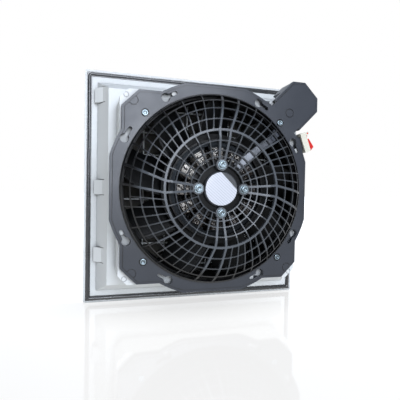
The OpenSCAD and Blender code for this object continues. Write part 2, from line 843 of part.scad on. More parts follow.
module plate_screws() {
    seat = plate_depth - screw_sink;
    color(zinc) rear() rotate(45) quarters() translate([plate_screw_r, 0, seat])
        screw(plate_screw_shank_r, seat - ring_top + ring_boss_h, plate_screw_head_r,
            plate_screw_head_h, 0, 0);
}

// Depth of the guard's outer surface at a distance from the axis
function dome(r) = plate_depth + (guard_crown - plate_depth) * (1 - (r / guard_r) ^ dome_power) ^ dome_curve
    - dip_slope * max(0, dip_r_share * guard_r - r);

// The way that the guard's bars lean as they run outwards, in degrees
function lean(share) = lookup(share, lean_shares);

// One bar of the guard between two shares of its radius, as an outline
module guard_bar(at, w, from, to) {
    stops = [from, for (s = lean_shares) if (s[0] > from && s[0] < to) s[0], to];
    polygon([for (side = [-1, 1], k = [0:len(stops) - 1])
        let (share = stops[side < 0 ? k : len(stops) - 1 - k])
        let (r = share * guard_r)
        let (a = at + lean(share) + side * asin(w / 2 / r))
        r * [cos(a), sin(a)]]);
}

module guard_ring(r, w) {
    difference() {
        circle(r + w / 2);
        circle(r - w / 2);
    }
}

module guard_pattern() {
    hub_share = hub_ring_r / guard_r;
    rim_share = 1 - rim_w / 2 / guard_r;
    thick_share = thick_ring_r / guard_r;
    medium_share = ring_shares[4];
    long_share = ring_shares[5];
    span = 90 - 2 * double_half;
    step = span / (inner_bars + 1);
    guard_ring(hub_ring_r, thin_bar);
    for (share = ring_shares) guard_ring(share * guard_r, thin_bar);
    guard_ring(thick_ring_r, thick_bar);
    guard_ring(guard_r - rim_w / 2, rim_w);
    quarters() {
        for (side = [-1, 1]) guard_bar(side * double_half, thick_bar, hub_share, rim_share);
        for (k = [1:inner_bars]) guard_bar(double_half + k * step, thin_bar, hub_share, rim_share);
        for (k = [0:inner_bars]) {
            guard_bar(double_half + (k + 0.5) * step, thin_bar, thick_share, long_share);
        }
        guard_bar(45, medium_bar, thick_share, medium_share);
        translate([hub_screw_r, 0]) circle(hub_boss_r, $fn = 48);
    }
}

module guard_grille() {
    stations = [for (share = dome_station_shares) share * guard_r];
    outer = [for (r = stations) [r, dome(r)]];
    edge = dome(stations[len(stations) - 1]);
    color(guard_black) rear() difference() {
        union() {
            intersection() {
                slab(ring_top, guard_crown + overrun) guard_pattern();
                rotate_extrude() polygon([for (p = outer) p, [guard_r, edge - rim_w], [guard_r, ring_top],
                    [guard_r - rim_w, ring_top], [guard_r - rim_w, edge - guard_bar_h - rim_w],
                    for (k = [len(outer) - 1:-1:0]) [outer[k][0], outer[k][1] - guard_bar_h]]);
            }
            slab(flange_back, hub_depth) quarters() translate([hub_screw_r, 0]) circle(hub_boss_r, $fn = 48);
        }
        slab(flange_back - overrun, hub_depth + overrun) quarters() translate([hub_screw_r, 0])
            circle(screw_bore_r, $fn = 32);
    }
}

module hub_screws() {
    color(zinc) rear() quarters() translate([hub_screw_r, 0, hub_depth])
        screw(hub_shank_r, hub_depth - flange_front, hub_head_r, hub_head_h, washer_r, washer_t);
}

module cable_duct() {
    side = [[-duct_back_len, flange_front], [duct_flat, flange_front],
        [duct_end, ring_top + duct_h * 0.6], [duct_end, ring_top], [duct_foot, ring_top],
        [duct_flat - duct_h * 0.3, flange_front - duct_h], [-duct_back_len, flange_front - duct_h]];
    color("#a7aeb8") rear() intersection() {
        translate([duct_from[0], duct_from[1], 0]) rotate(duct_turn) rotate([90, 0, 0])
            linear_extrude(duct_w, center = true) polygon(side);
        cylinder(r = guard_r - rim_w - free_gap, h = guard_crown);
    }
}

module motor_flange() {
    tube_r = bearing_r + tube_wall;
    color("#33363a") rear() difference() {
        union() {
            slab(flange_front, flange_back) circle(motor_flange_r);
            slab(tube_front, flange_front) circle(tube_r, $fn = 64);
        }
        slab(tube_front - overrun, tube_back) circle(bearing_r + seat_gap / 2, $fn = 64);
        slab(flange_front - overrun, flange_back + overrun) quarters() translate([hub_screw_r, 0])
            circle(hub_shank_r + running, $fn = 32);
    }
}

module motor_cap() {
    color("#4c4f54") rear() translate([0, 0, flange_back]) rotate_extrude()
        polygon([[0, 0], [cap_r, 0], [cap_r, cap_h * 0.8], [cap_r - cap_h * 0.2, cap_h], [0, cap_h]]);
}

module rating_plate() {
    color("#e8eaf2") rear() slab(flange_back + cap_h, flange_back + cap_h + label_t) difference() {
        circle(label_r);
        rotate(45) translate([label_cut, -label_r]) square([label_r, 2 * label_r]);
    }
}

module stator_core() {
    tube_r = bearing_r + tube_wall + seat_gap;
    step = 360 / stator_teeth;
    yoke_r = stator_r * yoke_share;
    neck_w = 2 * PI * yoke_r / stator_teeth * tooth_neck_share;
    color("#7d8288") rear() slab(stator_front, stator_front + stator_h) difference() {
        union() {
            circle(yoke_r);
            for (k = [0:stator_teeth - 1]) rotate(k * step) {
                translate([yoke_r - overrun, -neck_w / 2]) square([stator_r - yoke_r - shoe_t / 2, neck_w]);
                intersection() {
                    difference() {
                        circle(stator_r);
                        circle(stator_r - shoe_t);
                    }
                    polygon([[0, 0], for (a = [-0.5, 0, 0.5]) 1.2 * stator_r
                        * [cos(a * step * shoe_share), sin(a * step * shoe_share)]]);
                }
            }
        }
        circle(tube_r);
    }
}

module stator_winding() {
    step = 360 / stator_teeth;
    span = step * shoe_share * 0.86;
    back = stator_front + stator_h;
    color("#5a4636") rear() for (k = [0:stator_teeth - 1], z = [stator_front - coil_h, back])
        rotate(k * step - span / 2) rotate_extrude(angle = span) translate([0, z]) {
            translate([coil_in, 0]) square([stator_r - coil_gap * 2 - coil_in, coil_h]);
        }
}

// A ball bearing: two rings with a shield between them
module bearing() {
    ring = (bearing_r - shaft_r) * 0.28;
    color("#8f979d") rear() difference() {
        slab(0, bearing_w) circle(bearing_r, $fn = 64);
        slab(-overrun, bearing_w + overrun) circle(shaft_r + running, $fn = 48);
        for (z = [-overrun, bearing_w - ring * 0.3]) slab(z, z + overrun + ring * 0.3) difference() {
            circle(bearing_r - ring, $fn = 64);
            circle(shaft_r + ring, $fn = 64);
        }
    }
}

module front_bearing() {
    translate([0, tube_front + free_gap, 0]) bearing();
}

module rear_bearing() {
    translate([0, tube_back - bearing_w, 0]) bearing();
}

module rotor_shell() {
    color("#2f3236") rear() difference() {
        slab(rotor_front, rotor_back) circle(rotor_r);
        slab(rotor_front + rotor_wall, rotor_back + overrun) difference() {
            circle(rotor_r - rotor_wall);
            circle(rotor_boss_r, $fn = 64);
        }
        slab(rotor_front + rotor_wall + rotor_boss_h, rotor_back) circle(rotor_boss_r + overrun, $fn = 64);
        slab(rotor_front - overrun, rotor_back) circle(shaft_r + seat_gap / 2, $fn = 48);
    }
}

module rotor_core() {
    inner = stator_r + air_gap;
    color("#8b9096") rear() slab(stator_front, stator_front + stator_h) difference() {
        circle(rotor_r - rotor_wall - seat_gap);
        circle(inner);
    }
}

module motor_shaft() {
    color("#b9c0c6") rear() slab(rotor_front - shaft_out, tube_back - seat_gap) circle(shaft_r, $fn = 48);
}

// One blade: a curved sheet cut to a swept outline between hub and tip
module blade() {
    mid = blade_front + blade_h / 2;
    rise = blade_curve_r * cos(blade_pitch);
    slide = blade_curve_r * sin(blade_pitch);
    intersection() {
        translate([0, slide, mid - rise]) rotate([0, 90, 0]) difference() {
            cylinder(r = blade_curve_r + blade_t / 2, h = tip_r + overrun);
            translate([0, 0, -overrun]) cylinder(r = blade_curve_r - blade_t / 2, h = tip_r + 3 * overrun);
        }
        slab(blade_front, blade_front + blade_h) difference() {
            intersection() {
                circle(tip_r);
                translate(tip_r * trailing_shares) circle(tip_r * sweep_share);
                polygon([[0, 0], for (a = [-30, 0, 30]) 1.3 * tip_r * [cos(a), sin(a)]]);
            }
            circle(hub_front_r - 1);
            translate(tip_r * leading_shares) circle(tip_r * sweep_share);
        }
    }
}

module impeller() {
    color("#202226") rear() {
        difference() {
            union() {
                translate([0, 0, impeller_front]) cylinder(r1 = hub_front_r, r2 = hub_back_r,
                    h = impeller_back - impeller_front);
                for (k = [0:blades - 1]) rotate(k * 360 / blades) blade();
            }
            slab(rotor_front, impeller_back + overrun) circle(rotor_r + seat_gap);
            slab(impeller_front - overrun, impeller_back) circle(impeller_hole_r);
        }
    }
}

mounting_frame();
frame_seal();
filter_support_grid();
filter_mat();
bayonet_studs();
louvre_grille();
panel_clip(-1, 0);  // panel_clip_left_top
panel_clip(-1, 1);  // panel_clip_left_middle
panel_clip(-1, 2);  // panel_clip_left_bottom
panel_clip(1, 0);  // panel_clip_right_top
panel_clip(1, 1);  // panel_clip_right_middle
panel_clip(1, 2);  // panel_clip_right_bottom
fan_plate();
terminal_box();
run_capacitor();
terminal_block();
terminal_lever();
wall_ring();
plate_screws();
guard_grille();
hub_screws();
cable_duct();
motor_flange();
motor_cap();
rating_plate();
stator_core();
stator_winding();
front_bearing();
rear_bearing();
rotor_shell();
rotor_core();
motor_shaft();
impeller();
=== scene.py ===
import math

import bmesh
import bpy
from mathutils import Matrix, Vector, noise


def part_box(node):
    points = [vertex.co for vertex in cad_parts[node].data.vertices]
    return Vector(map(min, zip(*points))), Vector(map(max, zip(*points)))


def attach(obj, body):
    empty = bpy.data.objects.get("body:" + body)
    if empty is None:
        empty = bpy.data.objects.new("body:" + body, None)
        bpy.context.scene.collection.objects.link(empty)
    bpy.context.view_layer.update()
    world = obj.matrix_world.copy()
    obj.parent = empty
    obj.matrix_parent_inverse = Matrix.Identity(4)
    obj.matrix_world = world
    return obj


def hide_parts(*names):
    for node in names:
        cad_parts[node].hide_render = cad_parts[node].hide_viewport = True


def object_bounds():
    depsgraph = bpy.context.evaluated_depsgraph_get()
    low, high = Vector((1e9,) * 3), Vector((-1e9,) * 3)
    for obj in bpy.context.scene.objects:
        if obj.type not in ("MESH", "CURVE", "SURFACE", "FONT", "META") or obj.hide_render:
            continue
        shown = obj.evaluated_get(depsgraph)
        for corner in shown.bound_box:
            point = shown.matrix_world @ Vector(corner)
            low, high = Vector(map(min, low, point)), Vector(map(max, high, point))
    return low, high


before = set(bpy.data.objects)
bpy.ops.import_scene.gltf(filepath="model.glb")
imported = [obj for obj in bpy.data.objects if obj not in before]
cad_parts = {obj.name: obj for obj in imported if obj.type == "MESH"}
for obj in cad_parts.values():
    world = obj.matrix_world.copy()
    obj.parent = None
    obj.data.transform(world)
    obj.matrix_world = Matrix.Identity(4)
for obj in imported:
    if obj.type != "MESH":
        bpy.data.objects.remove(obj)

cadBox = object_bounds()
mm = 0.001
weldDistance = 0.001 * mm
print("frame loaded:", len(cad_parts), "nodes")


# Shared helpers

def srgb(hexCode):  # sRGB hex to Blender's linear colour
    channels = [int(hexCode[i:i + 2], 16) / 255 for i in (1, 3, 5)]
    linear = [c / 12.92 if c <= 0.04045 else ((c + 0.055) / 1.055) ** 2.4 for c in channels]
    return (*linear, 1.0)


def addNode(tree, kind, sockets=None, **settings):
    node = tree.nodes.new(kind)
    for name, value in settings.items():
        setattr(node, name, value)
    for name, value in (sockets or {}).items():
        if isinstance(value, bpy.types.NodeSocket):
            tree.links.new(value, node.inputs[name])
        else:
            node.inputs[name].default_value = value
    return node


def mixColors(tree, share, first, second, **settings):
    mix = addNode(tree, "ShaderNodeMix", {0: share, 6: first, 7: second}, data_type="RGBA", **settings)
    return mix.outputs[2]


# Maps one span of a value to another, and holds its ends beyond it
def mapSpan(tree, value, span, result=(0.0, 1.0), **settings):
    sockets = {"Value": value, "From Min": span[0], "From Max": span[1],
               "To Min": result[0], "To Max": result[1]}
    return addNode(tree, "ShaderNodeMapRange", sockets, **settings).outputs["Result"]


# What every finish starts from: not metallic, bare of a clear coat, with a little painted shade in its nooks
plainFinish = {"metallic": 0.0, "specular": 0.5, "coat": 0.0, "coatRoughness": 0.1,
               "nookSize": 2.5 * mm, "nookShade": 0.4, "nookFrom": 0.25, "nookTo": 0.85,
               "sheenFrom": 0.3, "sheenTo": 0.7}
softNoise = {"Detail": 3.0, "Roughness": 0.55}
fineNoise = {"Detail": 2.0, "Roughness": 0.6}
wavePitch = 0.31          # a wave texture of scale 1 repeats about every 0.31 m


def startMaterial(name, look):
    material = bpy.data.materials.new(name)
    material.use_nodes = True
    tree = material.node_tree
    shader = tree.nodes["Principled BSDF"]
    shader.inputs["Base Color"].default_value = srgb(look["color"])
    shader.inputs["Roughness"].default_value = look["roughness"]
    shader.inputs["Metallic"].default_value = look["metallic"]
    shader.inputs["Specular IOR Level"].default_value = look["specular"]
    shader.inputs["Coat Weight"].default_value = look["coat"]
    shader.inputs["Coat Roughness"].default_value = look["coatRoughness"]
    point = addNode(tree, "ShaderNodeTexCoord").outputs["Object"]
    return material, tree, shader, point


# The tree of a finished material, its shader and the colour that it has so far
def reopenMaterial(material):
    tree = material.node_tree
    shader = tree.nodes["Principled BSDF"]
    return tree, shader, shader.inputs["Base Color"].links[0].from_socket


# Two close tones of one colour in soft patches, as a moulding or a coating has, with painted shade where
# surfaces meet
def mottle(tree, shader, point, look):
    patch = addNode(tree, "ShaderNodeTexNoise",
                    {"Vector": point, "Scale": 1 / look["patchSize"], **softNoise})
    tones = mixColors(tree, patch.outputs["Fac"], srgb(look["darkTone"]), srgb(look["color"]))
    # Painted shade: ambient occlusion darkens the colour in nooks, creases and recesses
    nook = addNode(tree, "ShaderNodeAmbientOcclusion", {"Distance": look["nookSize"]}, samples=6)
    light = mapSpan(tree, nook.outputs["AO"], (look["nookFrom"], look["nookTo"]),
                    (1 - look["nookShade"], 1.0))
    shaded = mixColors(tree, 1.0, tones, light, blend_type="MULTIPLY")
    tree.links.new(shaded, shader.inputs["Base Color"])
    return patch


# Fine bumps over softly rounded edges
def grain(tree, shader, point, look):
    edge = addNode(tree, "ShaderNodeBevel", {"Radius": look["edgeRadius"]}, samples=4)
    speck = addNode(tree, "ShaderNodeTexNoise",
                    {"Vector": point, "Scale": 1 / look["grainSize"], **fineNoise})
    bump = addNode(tree, "ShaderNodeBump",
                   {"Height": speck.outputs["Fac"], "Distance": look["grainDepth"],
                    "Strength": look["grainStrength"], "Normal": edge.outputs["Normal"]})
    tree.links.new(bump.outputs["Normal"], shader.inputs["Normal"])


# Roughness that wanders between two values in patches
def sheenPatches(tree, shader, patch, look):
    wander = look["roughnessSpread"]
    spread = mapSpan(tree, patch.outputs["Fac"], (look["sheenFrom"], look["sheenTo"]),
                     (look["roughness"] - wander, look["roughness"] + wander))
    tree.links.new(spread, shader.inputs["Roughness"])


def newVerts(out):
    return [part for part in out["geom"] if isinstance(part, bmesh.types.BMVert)]


def openEdges(out):
    return [part for part in out["geom"] if isinstance(part, bmesh.types.BMEdge) and part.is_boundary]


# The edges at these vertices, each once and in the same order at every run
def edgesAt(verts):
    return list(dict.fromkeys(edge for vert in verts for edge in vert.link_edges))


def finishMesh(bm, name, material):
    bmesh.ops.remove_doubles(bm, verts=bm.verts, dist=weldDistance)
    bmesh.ops.recalc_face_normals(bm, faces=bm.faces)
    mesh = bpy.data.meshes.new(name)
    bm.to_mesh(mesh)
    bm.free()
    piece = bpy.data.objects.new(name, mesh)
    bpy.context.scene.collection.objects.link(piece)
    piece.data.materials.append(material)
    return piece


# Camera and studio: the photograph's camera, solved from points on the housing, the plate and the guard

shot = {
    "place": (0.1506, 0.5339, -0.0032),
    "right": (-0.9597, 0.2804, 0.0178),
    "up": (0.0104, -0.0278, 0.9996),
    "lens": 33.2,        # mm, on a sensor 36 mm wide
    "sensor": 36.0,
    "nearest": 10 * mm,
}


def setCamera():
    lens = bpy.data.cameras.new("studioCamera")
    lens.lens = shot["lens"]
    lens.sensor_width = shot["sensor"]
    lens.clip_start = shot["nearest"]
    camera = bpy.data.objects.new("studioCamera", lens)
    bpy.context.scene.collection.objects.link(camera)
    right = Vector(shot["right"]).normalized()
    up = Vector(shot["up"])
    up = (up - right * up.dot(right)).normalized()
    back = right.cross(up)
    turn = Matrix((right, up, back)).transposed().to_4x4()
    camera.matrix_world = Matrix.Translation(shot["place"]) @ turn
    bpy.context.scene.camera = camera


studio = {
    "floorDrop": 0.0005,           # the table lies this far below the flange
    "floorSize": 40.0,
    "tableEdge": -0.005,           # the flange stands at the table's edge, so that the grille can swing down
    "tableHeight": 0.05,
    "floorRise": 0.0001,           # keeps the floor clear of the table's underside
    "floorColor": "#606060",
    "floorRoughness": 0.06,
    "floorSpecular": 0.7,
    "floorGlow": 0.86,             # lifts the table to the white of the backdrop
    "underGlow": 0.66,             # and less so under the object: a painted shadow where the room's light is held off
    "underFrom": 0.03,
    "underTo": 0.14,
    "underSquash": 0.5,            # the shade is this much shorter for its width
    "wallStrength": 1.0,           # the white wall behind the object
    "wallTurn": 0.25,              # half the band in which the wall gives way to the room
    "roomStrength": 0.25,          # the dimmer room behind the camera
    "roomColor": "#e6eefa",
    "shadeStrength": 0.15,         # how much of that light the camera's left gives
    "shadeTurn": 0.6,              # the band in which that side gets darker
    "lampColor": "#eef4ff",
    "lampAim": (0.0, 0.05, 0.0),
    "keyPower": 23.0,
    "keySize": 0.9,
    "keyPlace": (-0.05, 1.6, 0.45),
    "sidePower": 0.6,
    "sideSize": 0.4,
    "sidePlace": (-0.9, 1.0, 0.5),
    "cornerPower": 1.0,
    "cornerSize": 0.4,
    "cornerPlace": (0.75, 0.95, 0.95),
    "topPower": 2.4,
    "topSize": 0.8,
    "topPlace": (0.1, 0.3, 1.35),
}


def addSoftbox(name):
    lamp = bpy.data.lights.new(name + "Softbox", "AREA")
    lamp.energy = studio[name + "Power"]
    lamp.color = srgb(studio["lampColor"])[:3]
    lamp.size = studio[name + "Size"]
    box = bpy.data.objects.new(name + "Softbox", lamp)
    bpy.context.scene.collection.objects.link(box)
    box.location = studio[name + "Place"]
    box.rotation_euler = (Vector(studio["lampAim"]) - box.location).to_track_quat("-Z", "Y").to_euler()
    return box


# A white wall behind the object and a dimmer room behind the camera, and plain white where the camera looks
def hangBackdrop():
    world = bpy.context.scene.world or bpy.data.worlds.new("studioWorld")
    bpy.context.scene.world = world
    world.use_nodes = True
    tree = world.node_tree
    room = tree.nodes["Background"]
    room.inputs["Color"].default_value = srgb(studio["roomColor"])
    toward = addNode(tree, "ShaderNodeTexCoord").outputs["Generated"]
    axes = addNode(tree, "ShaderNodeSeparateXYZ", {"Vector": toward})
    fall = mapSpan(tree, axes.outputs["Y"], (-studio["wallTurn"], studio["wallTurn"]),
                   (studio["wallStrength"], studio["roomStrength"]))
    shade = mapSpan(tree, axes.outputs["X"], (0.0, studio["shadeTurn"]), (1.0, studio["shadeStrength"]))
    level = addNode(tree, "ShaderNodeMath", {0: fall, 1: shade}, operation="MULTIPLY")
    tree.links.new(level.outputs["Value"], room.inputs["Strength"])
    white = addNode(tree, "ShaderNodeBackground", {"Color": (1.0, 1.0, 1.0, 1.0), "Strength": 1.0})
    seen = addNode(tree, "ShaderNodeLightPath").outputs["Is Camera Ray"]
    both = addNode(tree, "ShaderNodeMixShader",
                   {0: seen, 1: room.outputs["Background"], 2: white.outputs["Background"]})
    tree.links.new(both.outputs["Shader"], tree.nodes["World Output"].inputs["Surface"])


# A low white table in front of the camera, and the floor that it stands on
def layTable():
    size = studio["floorSize"]
    height = studio["tableHeight"]
    top = cadBox[0].z - studio["floorDrop"]
    bm = bmesh.new()
    slab = bmesh.ops.create_cube(bm, size=1.0)["verts"]
    bmesh.ops.scale(bm, verts=slab, vec=(size, size / 2, height))
    bmesh.ops.translate(bm, verts=slab, vec=(0, studio["tableEdge"] + size / 4, top - height / 2))
    ground = bmesh.ops.create_grid(bm, x_segments=1, y_segments=1, size=size / 2)["verts"]
    bmesh.ops.translate(bm, verts=ground, vec=(0, 0, top - height + studio["floorRise"]))
    look = {**plainFinish, "color": studio["floorColor"], "roughness": studio["floorRoughness"],
            "specular": studio["floorSpecular"]}
    material, tree, shader, point = startMaterial("whiteAcrylicTable", look)
    shader.inputs["Emission Color"].default_value = (1.0, 1.0, 1.0, 1.0)
    oval = addNode(tree, "ShaderNodeVectorMath", {0: point, 1: (studio["underSquash"], 1, 0)},
                   operation="MULTIPLY")
    reach = addNode(tree, "ShaderNodeVectorMath", {0: oval.outputs["Vector"]}, operation="LENGTH")
    # Painted shadow: the table glows less in an oval under the object
    glow = mapSpan(tree, reach.outputs["Value"], (studio["underFrom"], studio["underTo"]),
                   (studio["underGlow"], studio["floorGlow"]), interpolation_type="SMOOTHSTEP")
    tree.links.new(glow, shader.inputs["Emission Strength"])
    table = finishMesh(bm, "studioTable", material)
    return table


# The softboxes light the object and leave the table alone, so that no lamp shows in its gloss
def buildStudio():
    bpy.context.scene.view_settings.view_transform = "Standard"
    hangBackdrop()
    unlit = bpy.data.collections.new("unlitTable")
    unlit.objects.link(layTable())
    unlit.collection_objects[0].light_linking.link_state = "EXCLUDE"
    for name in ("key", "side", "corner", "top"):
        addSoftbox(name).light_linking.receiver_collection = unlit


setCamera()
buildStudio()
print("camera and studio ready")


# Finishes

# Light grey ABS, moulded against a spark-eroded tool: matt, with faint flow marks, and painted shade in its
# recesses and behind the keyholes
housingAbs = {
    **plainFinish, "color": "#dde1e2", "darkTone": "#d5d9da", "roughness": 0.42, "roughnessSpread": 0.06,
    "nookSize": 10 * mm, "nookShade": 0.65, "patchSize": 60 * mm, "grainSize": 1.1 * mm,
    "grainDepth": 0.05 * mm, "grainStrength": 0.35, "edgeRadius": 0.5 * mm,
}


# Slate-grey glass-filled polyamide: satin, so a softbox spreads over it as a long gradient; painted shade
# darkens its shallow grooves and rings
platePolyamide = {
    **plainFinish, "color": "#282e38", "darkTone": "#232831", "roughness": 0.36, "roughnessSpread": 0.05,
    "specular": 0.6, "nookSize": 1.5 * mm, "nookShade": 0.95, "nookFrom": 0.75, "nookTo": 0.95,
    "patchSize": 35 * mm, "grainSize": 1.2 * mm, "grainDepth": 0.05 * mm, "grainStrength": 0.4,
    "edgeRadius": 0.5 * mm,
}


# Black polyamide, moulded with a polished tool, coloured mid grey as painted sheen: painted light on the
# stout bars, painted shade on the thin ones and towards the rim
guardPolyamide = {
    **plainFinish, "color": "#43484e", "darkTone": "#393d42", "roughness": 0.33, "roughnessSpread": 0.05,
    "nookShade": 0.6, "stoutSize": 2 * mm, "stoutFrom": 0.4, "stoutTo": 0.7, "thinShade": 0.5,
    "stoutLight": 1.45, "farShadeColor": "#131416", "farFrom": 95 * mm, "farTo": 107 * mm,
    "patchSize": 20 * mm, "grainSize": 1.2 * mm, "grainDepth": 0.03 * mm, "grainStrength": 0.3,
    "edgeRadius": 0.7 * mm,
}


# The same polyamide inside the fan, matt black, with deep painted shade in its nooks so that the air path
# reads as a dark hollow
impellerPolyamide = {
    **plainFinish, "color": "#0c0d0e", "darkTone": "#060707", "roughness": 0.42, "roughnessSpread": 0.06,
    "specular": 0.14, "nookSize": 20 * mm, "nookShade": 0.9, "patchSize": 25 * mm, "grainSize": 1.2 * mm,
    "grainDepth": 0.04 * mm, "grainStrength": 0.35, "edgeRadius": 0.4 * mm,
}


# Light grey polyamide of the cable duct, with painted shade that darkens it towards its outer end
ductPolyamide = {
    **plainFinish, "color": "#b2b8c2", "darkTone": "#a5abb5", "roughness": 0.4, "roughnessSpread": 0.05,
    "patchSize": 12 * mm, "grainSize": 1.0 * mm, "grainDepth": 0.04 * mm, "grainStrength": 0.3,
    "edgeRadius": 0.4 * mm, "farShadeColor": "#4a4e57", "farFrom": 58 * mm, "farTo": 88 * mm,
}


# Dark grey polyamide of the motor's cap: slightly matt, with broad soft lights
capPolyamide = {
    **plainFinish, "color": "#404347", "darkTone": "#383b3f", "roughness": 0.45, "roughnessSpread": 0.05,
    "patchSize": 15 * mm, "grainSize": 1.0 * mm, "grainDepth": 0.04 * mm, "grainStrength": 0.35,
    "edgeRadius": 0.4 * mm,
}


# Cream polyamide of the terminal: a soft satin without sharp lights
terminalPolyamide = {
    **plainFinish, "color": "#dad9cc", "darkTone": "#cfcdbe", "roughness": 0.35, "roughnessSpread": 0.05,
    "patchSize": 8 * mm, "grainSize": 0.9 * mm, "grainDepth": 0.03 * mm, "grainStrength": 0.25,
    "edgeRadius": 0.3 * mm,
}


# Red polyamide of the lever: a little glossier than the block beside it
leverPolyamide = {
    **plainFinish, "color": "#d6261f", "darkTone": "#c01f19", "roughness": 0.3, "roughnessSpread": 0.05,
    "patchSize": 8 * mm, "grainSize": 0.9 * mm, "grainDepth": 0.03 * mm, "grainStrength": 0.25,
    "edgeRadius": 0.3 * mm,
}


# Mottled colour, wandering gloss and a fine grain, as a moulding, a coating and a turned part each have
def grainedFinish(name, look):
    material, tree, shader, point = startMaterial(name, look)
    patch = mottle(tree, shader, point, look)
    sheenPatches(tree, shader, patch, look)
    grain(tree, shader, point, look)
    return material


# A second colour that takes over with the distance from the fan's axis: painted shade, on the duct towards
# its outer end and on the guard towards its rim
def addFarShade(material, look):
    tree, shader, clean = reopenMaterial(material)
    point = addNode(tree, "ShaderNodeTexCoord").outputs["Object"]
    across = addNode(tree, "ShaderNodeVectorMath", {0: point, 1: (1.0, 0.0, 1.0)}, operation="MULTIPLY")
    reach = addNode(tree, "ShaderNodeVectorMath", {0: across.outputs["Vector"]}, operation="LENGTH")
    layer = mapSpan(tree, reach.outputs["Value"], (look["farFrom"], look["farTo"]))
    tree.links.new(mixColors(tree, layer, clean, srgb(look["farShadeColor"])), shader.inputs["Base Color"])
    return material


# Painted light and shade: paler where the moulding is stout, darker where it is thin; few rays that look
# inwards meet the far side where it is stout
def addStoutLightThinShade(material, look):
    tree, shader, plain = reopenMaterial(material)
    inward = addNode(tree, "ShaderNodeAmbientOcclusion", {"Distance": look["stoutSize"]},
                     samples=8, inside=True)
    share = mapSpan(tree, inward.outputs["AO"], (look["stoutFrom"], look["stoutTo"]),
                    (look["thinShade"], look["stoutLight"]))
    toned = addNode(tree, "ShaderNodeVectorMath", {0: plain, "Scale": share}, operation="SCALE")
    tree.links.new(toned.outputs["Vector"], shader.inputs["Base Color"])
    return material


# Bright zinc with a blue passivation: a soft mirror with a cold tint, with painted shade in the sockets
zincSteel = {
    **plainFinish, "color": "#8f9ca2", "darkTone": "#75828a", "roughness": 0.3, "roughnessSpread": 0.08,
    "metallic": 1.0, "nookSize": 3 * mm, "nookShade": 0.85, "patchSize": 3 * mm, "grainSize": 0.8 * mm,
    "grainDepth": 0.03 * mm, "grainStrength": 0.3, "edgeRadius": 0.4 * mm,
}


# Die-cast aluminium under black electro-coat: the casting's grain shows in a dull sheen
coatedCasting = {
    **plainFinish, "color": "#0b0c0d", "darkTone": "#070808", "roughness": 0.36, "roughnessSpread": 0.08,
    "specular": 0.13, "patchSize": 9 * mm, "grainSize": 0.9 * mm, "grainDepth": 0.08 * mm,
    "grainStrength": 0.5, "edgeRadius": 0.4 * mm,
}


# Ground bearing steel: bright, with small sharp lights
groundSteel = {
    **plainFinish, "color": "#b5bbc0", "darkTone": "#a5abb0", "roughness": 0.2, "roughnessSpread": 0.04,
    "metallic": 1.0, "patchSize": 6 * mm, "grainSize": 0.8 * mm, "grainDepth": 0.01 * mm,
    "grainStrength": 0.2, "edgeRadius": 0.3 * mm,
}


# Drawn aluminium of the capacitor's can: pale, with a soft even sheen
drawnAluminium = {
    **plainFinish, "color": "#cdd0d3", "darkTone": "#bfc3c7", "roughness": 0.28, "roughnessSpread": 0.05,
    "metallic": 1.0, "patchSize": 12 * mm, "grainSize": 0.9 * mm, "grainDepth": 0.02 * mm,
    "grainStrength": 0.2, "edgeRadius": 0.5 * mm,
}


# Deep-drawn steel cup under black dip paint: a dull sheen that follows the cup's round edge
dipPaintedSteel = {
    **plainFinish, "color": "#0e0f10", "darkTone": "#09090a", "roughness": 0.34, "roughnessSpread": 0.06,
    "specular": 0.2, "patchSize": 18 * mm, "grainSize": 1.0 * mm, "grainDepth": 0.03 * mm,
    "grainStrength": 0.3, "edgeRadius": 0.5 * mm,
}


# Stacked electrical sheet: dark steel in fine bands, drawn 1 mm coarse so that the stack shows
laminatedSteel = {
    **plainFinish, "color": "#2b2e31", "darkTone": "#151719", "roughness": 0.4, "metallic": 1.0,
    "sheet": 1.0 * mm, "sheetDepth": 0.15 * mm, "sheetStrength": 0.6, "sheetWander": 0.4,
}


def stackedSheet(name, look):
    material, tree, shader, point = startMaterial(name, look)
    layers = addNode(tree, "ShaderNodeTexWave",
                     {"Vector": point, "Scale": wavePitch / look["sheet"],
                      "Distortion": look["sheetWander"], "Detail": 1.0},
                     wave_type="BANDS", bands_direction="Y")
    tones = mixColors(tree, layers.outputs["Fac"], srgb(look["darkTone"]), srgb(look["color"]))
    tree.links.new(tones, shader.inputs["Base Color"])
    bump = addNode(tree, "ShaderNodeBump",
                   {"Height": layers.outputs["Fac"], "Distance": look["sheetDepth"],
                    "Strength": look["sheetStrength"]})
    tree.links.new(bump.outputs["Normal"], shader.inputs["Normal"])
    return material


# White film with a thin gloss, bare but for the faint rules of an empty form
plateFilm = {
    **plainFinish, "color": "#c6cad4", "roughness": 0.32, "ruleColor": "#949ba8", "rulePitch": 2.7 * mm,
    "ruleTurn": 40, "ruleFrom": 0.9, "coat": 0.3,
}


def ruledFilm(name, look):
    material, tree, shader, point = startMaterial(name, look)
    turned = addNode(tree, "ShaderNodeMapping",
                     {"Vector": point, "Rotation": (0, math.radians(look["ruleTurn"]), 0)})
    rules = addNode(tree, "ShaderNodeTexWave",
                    {"Vector": turned.outputs["Vector"], "Scale": wavePitch / look["rulePitch"]},
                    wave_type="BANDS", bands_direction="Z")
    thin = mapSpan(tree, rules.outputs["Fac"], (look["ruleFrom"], 1.0))
    tones = mixColors(tree, thin, srgb(look["color"]), srgb(look["ruleColor"]))
    tree.links.new(tones, shader.inputs["Base Color"])
    return material


